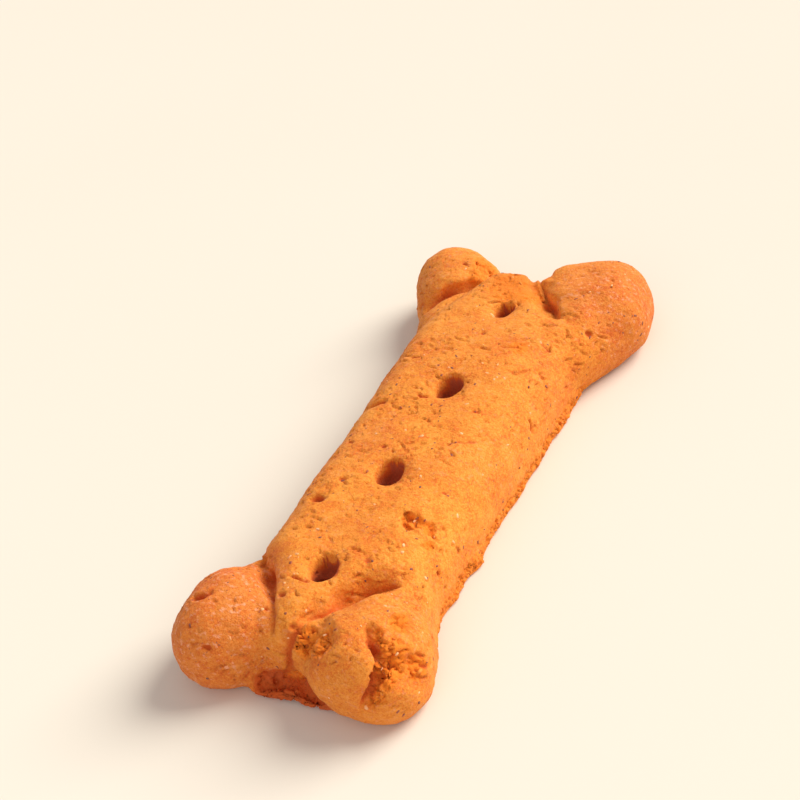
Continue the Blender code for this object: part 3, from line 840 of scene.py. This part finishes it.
class BISCUIT_OT_crust(bpy.types.Operator):
    """Skin a copy of the solid finely, shape its tears, furrows and crumb, and colour it"""

    bl_idname = "biscuit.crust"
    bl_label = "Bake the Crust"

    def execute(self, context):
        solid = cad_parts[SOLID]
        crust = add_object(CRUST, solid.data.copy())
        edit(crust)
        bpy.ops.mesh.remove_doubles(threshold=MERGE)
        done()
        apply_modifier(crust, "REMESH", mode="VOXEL", voxel_size=settings().crust.skin_grid)
        apply_modifier(crust, "SMOOTH", factor=0.5, iterations=SMOOTHINGS)
        self.refine_breaks(crust)
        dough = Dough(crust.data)
        press_furrows(dough)
        open_holes(dough)
        dough.settle()
        break_patches(dough)
        crumble_foot(dough)
        open_cracks(dough)
        sink_pits(dough)
        dough.settle()
        tear_skin(dough)
        grain(dough)
        dough.points = inside_box(dough.points)
        dough.settle()
        shade_deep_places(dough)
        self.mask(dough)
        self.thin(crust, dough)
        write_points(crust.data, inside_box(read_points(crust.data)[0]))
        pick(crust)
        bpy.ops.object.shade_smooth()
        finish_piece(crust, crust_material(), SOLID)
        return {"FINISHED"}

    @staticmethod
    def refine_breaks(crust):
        """Halves the grid down the right foot, round the holes and where the skin breaks or cracks."""
        middles = np.empty(len(crust.data.polygons) * 3, dtype=np.float32)
        crust.data.polygons.foreach_get("center", middles)
        middles = middles.reshape(-1, 3) / MM - ROW_MIDDLE
        x, y, z = middles.T
        close = (z > 0.2) & (z < 1.6) & (x > 3) & (np.abs(y) < 22)
        for middle, reach, _ in BROKEN:
            close |= np.linalg.norm(middles - middle, axis=1) < reach * 1.2
        for place, radius in HOLES:
            close |= (np.hypot(x, y - place) < 1.7 * radius) & (z > 3)
        for path, _, _ in CRACKS:
            close |= nearest_on_path(middles, path)[0] < 0.7
        edit(crust)
        bpy.ops.mesh.select_mode(type="FACE")
        bpy.ops.mesh.select_all(action="DESELECT")
        done()
        crust.data.polygons.foreach_set("select", close)
        bpy.ops.object.mode_set(mode="EDIT")
        bpy.ops.mesh.subdivide(number_cuts=1)
        done()

    @staticmethod
    def mask(dough):
        """Browns the knobs with some painted shade, shades the left wall, and keeps the three masks in the
        mesh.
        """
        x, y, z = dough.points.T
        toast = 0.15 + 0.25 * noise_at(dough.points, 7.0, seed=91)
        # Painted shade on the steep left wall, which faces away from the light
        left_wall_shade = 0.2 * ease(0.75, 0.2, dough.normals[:, 2]) * ease(8, 5, z)
        toast += left_wall_shade * ease(4, -4, x)
        for (place_x, place_y), reach, share in TOASTED_AND_SHADED:
            away = np.hypot(x - place_x, y - place_y) / reach
            toast = np.maximum(toast, share * ease(1.1, 0.6, away))
        write_mask(dough.mesh, "toast", np.clip(toast, 0, 1))
        write_mask(dough.mesh, "hollow", np.clip(dough.hollow, 0, 2))
        write_mask(dough.mesh, "broken", np.clip(dough.broken, 0, 1))

    @staticmethod
    def thin(crust, dough):
        """Thins the mesh: the flat base most, because it needs few faces, and the broken skin least."""
        group = crust.vertex_groups.new(name="base")
        flat = np.flatnonzero((dough.points[:, 2] < 0.03) & (dough.normals[:, 2] < -0.98))
        group.add(range(len(dough.points)), 0.1, "REPLACE")
        group.add(np.flatnonzero(dough.broken > 0.3).tolist(), 0.02, "REPLACE")
        group.add(flat.tolist(), 1.0, "REPLACE")
        apply_modifier(crust, "TRIANGULATE")
        apply_modifier(crust, "DECIMATE", ratio=settings().crust.triangles / len(crust.data.polygons),
                       vertex_group="base", vertex_group_factor=10.0)


class BISCUIT_OT_flecks(bpy.types.Operator):
    """Scatter chips of bran, pale grain and loose crumbs over the crust"""

    bl_idname = "biscuit.flecks"
    bl_label = "Scatter the Flecks"

    def execute(self, context):
        look = settings().flecks
        mesh = bpy.data.objects[CRUST].data
        self.points, self.normals = read_points(mesh)
        self.shares = area_shares(mesh)
        self.corners, self.faces = self.chip()
        dark = chip_material("dark_bran", look.dark_colour, look.dark_other)
        pale = chip_material("pale_grain", look.pale_colour, look.pale_other)
        crumb = chip_material("crumb_dough", look.crumb_colour, look.crumb_other)
        hollow, broken = read_mask(mesh, "hollow"), read_mask(mesh, "broken")
        height = self.points[:, 2]
        open_skin = np.flatnonzero((height > 0.8) & (self.normals[:, 2] > -0.3) & (hollow < 0.7))
        high_skin = open_skin[height[open_skin] > 3.0]
        rough = np.flatnonzero((broken > 0.45) & (hollow < 0.8) & (height > 0.3))
        size = look.size / MM
        piece = self.scatter("dark_bran_flecks", BLACK_FLECKS, open_skin, look.dark_count, size, seed=11)
        finish_piece(piece, dark)
        piece = self.scatter("pale_grain_flecks", WHITE_FLECKS, high_skin, look.pale_count, size, seed=12)
        finish_piece(piece, pale)
        piece = self.scatter("loose_crumbs", [], rough, look.crumb_count, 1.5 * size, seed=13, sunk=0.6,
                             thick=1.2)
        finish_piece(piece, crumb)
        return {"FINISHED"}

    @staticmethod
    def chip():
        """One chip, 1 unit wide: a flattened stone of a few dozen faces."""
        bpy.ops.object.select_all(action="DESELECT")
        bpy.ops.mesh.primitive_ico_sphere_add(subdivisions=2, radius=0.5)
        item = bpy.context.active_object
        edit(item)
        bpy.ops.transform.resize(value=(1.0, 0.66, 0.40))
        bpy.ops.transform.vertex_random(offset=0.07, seed=3)
        done()
        apply_modifier(item, "DECIMATE", ratio=0.5)
        corners = np.array([v.co for v in item.data.vertices])
        faces = [tuple(p.vertices) for p in item.data.polygons]
        bpy.data.objects.remove(item, do_unlink=True)
        return corners, faces

    def scatter(self, name, listed, skin, count, size, seed, sunk=0.3, thick=1.0):
        """Joins chips into one piece: the listed ones first, and then small ones at random on the skin."""
        dice = np.random.default_rng(seed)
        places = []
        for middle, width in listed:
            nearest = np.argmin(np.linalg.norm(self.points - middle, axis=1))
            places.append((nearest, LISTED_WIDTH * width))
        shares = self.shares[skin]
        sites = dice.choice(skin, size=count, replace=False, p=shares / shares.sum())
        places += [(site, size * dice.uniform(0.5, 1.7)) for site in sites]
        all_corners, all_faces = [], []
        for site, width in places:
            normal = self.normals[site]
            spin = Matrix.Rotation(dice.uniform(0, math.pi), 3, "Z")
            turn = Vector(normal).to_track_quat("Z", "Y").to_matrix() @ spin
            shape = self.corners * width * dice.uniform(0.75, 1.25, 3) * (1, 1, thick)
            placed = shape @ np.array(turn).T + self.points[site] - normal * width * sunk * CHIP_DEPTH
            first = len(all_corners) * len(self.corners)
            all_faces += [tuple(first + i for i in face) for face in self.faces]
            all_corners.append(placed)
        corners = inside_box(np.concatenate(all_corners))
        mesh = bpy.data.meshes.new(name)
        mesh.from_pydata(((corners + ROW_MIDDLE) * MM).tolist(), [], all_faces)
        item = add_object(name, mesh)
        pick(item)
        bpy.ops.object.shade_smooth()
        return item


class BISCUIT_OT_stage(bpy.types.Operator):
    """Set the pale floor, the soft light and the camera"""

    bl_idname = "biscuit.stage"
    bl_label = "Set the Stage"

    def execute(self, context):
        stage = settings().stage
        self.floor(stage)
        key = self.lamp("key", "SUN", stage.key_from, stage.key_strength, KEY_COLOUR)
        key.angle = stage.key_spread
        fill = self.lamp("fill", "AREA", FILL_PLACE, stage.fill_power, FILL_COLOUR)
        fill.shape = "DISK"
        fill.size = FILL_WIDTH
        world = context.scene.world or bpy.data.worlds.new("studio")
        context.scene.world = world
        world.use_nodes = True
        backdrop = world.node_tree.nodes["Background"]
        backdrop.inputs["Color"].default_value = SKY_COLOUR
        backdrop.inputs["Strength"].default_value = stage.sky
        self.camera(context, stage)
        context.scene.view_settings.view_transform = "Standard"
        context.scene.view_settings.look = "None"
        return {"FINISHED"}

    @staticmethod
    def floor(stage):
        """A wide, pale, matt floor with hardly any tone of its own."""
        bpy.ops.object.select_all(action="DESELECT")
        bpy.ops.mesh.primitive_plane_add(size=FLOOR_WIDTH, location=(0, 0, -FLOOR_DROP))
        floor = bpy.context.active_object
        floor.name = "floor"
        paint = Paint("pale_floor")
        tone = linear(stage.floor_colour)
        patches = paint.ramp(paint.noise(60.0, detail=1, seed=10), 0.3, 0.7)
        base = paint.mix(patches * 0.02, tone, WHITE)
        floor.data.materials.append(paint.surface(Base_Color=base, Roughness=0.9, Specular_IOR_Level=0.0))

    @staticmethod
    def lamp(name, kind, place, power, colour):
        """Adds a lamp that shines from its place to the middle."""
        lamp = bpy.data.lights.new(name, kind)
        lamp.energy = power
        lamp.color = colour
        item = add_object(name, lamp)
        item.location = place
        item.rotation_euler = Vector(place).to_track_quat("Z", "Y").to_euler()
        return lamp

    @staticmethod
    def camera(context, stage):
        """Looks at the biscuit from the photograph's side, height and lean."""
        lens = bpy.data.cameras.new("camera")
        lens.sensor_width = 36.0
        lens.lens = stage.lens
        lens.clip_start = 0.01
        camera = add_object("camera", lens)
        context.scene.camera = camera
        level = math.cos(stage.elevation)
        back = Vector((math.sin(stage.azimuth) * level, -math.cos(stage.azimuth) * level,
                       math.sin(stage.elevation)))
        right = Vector((math.cos(stage.azimuth), math.sin(stage.azimuth), 0.0))
        up = back.cross(right)
        lean, rise = math.sin(stage.roll), math.cos(stage.roll)
        right, up = right * rise + up * lean, up * rise - right * lean
        turn = Matrix((right, up, back)).transposed().to_4x4()
        aim = Vector((ROW_MIDDLE * MM).tolist()) + Vector(stage.aim)
        camera.matrix_world = Matrix.Translation(aim + back * stage.distance) @ turn


class BISCUIT_PT_panel(bpy.types.Panel):
    """The biscuit's sizes, colours and steps."""

    bl_label = "Baked Dog Biscuit"
    bl_idname = "BISCUIT_PT_panel"
    bl_space_type = "VIEW_3D"
    bl_region_type = "UI"
    bl_category = "Biscuit"

    def draw(self, context):
        for group in (settings().crust, settings().flecks, settings().stage):
            box = self.layout.box()
            for name in group.__annotations__:
                box.prop(group, name)
        for step in STEPS:
            self.layout.operator(step.bl_idname)


STEPS = (BISCUIT_OT_crust, BISCUIT_OT_flecks, BISCUIT_OT_stage)
CLASSES = (CrustSettings, FleckSettings, StageSettings, BiscuitSettings, *STEPS, BISCUIT_PT_panel)


def register():
    for item in CLASSES:
        bpy.utils.register_class(item)
    bpy.types.Scene.biscuit = PointerProperty(type=BiscuitSettings)


def unregister():
    del bpy.types.Scene.biscuit
    for item in reversed(CLASSES):
        bpy.utils.unregister_class(item)


def main():
    register()
    bpy.ops.biscuit.crust()
    bpy.ops.biscuit.flecks()
    bpy.ops.biscuit.stage()


if __name__ == "__main__":
    main()
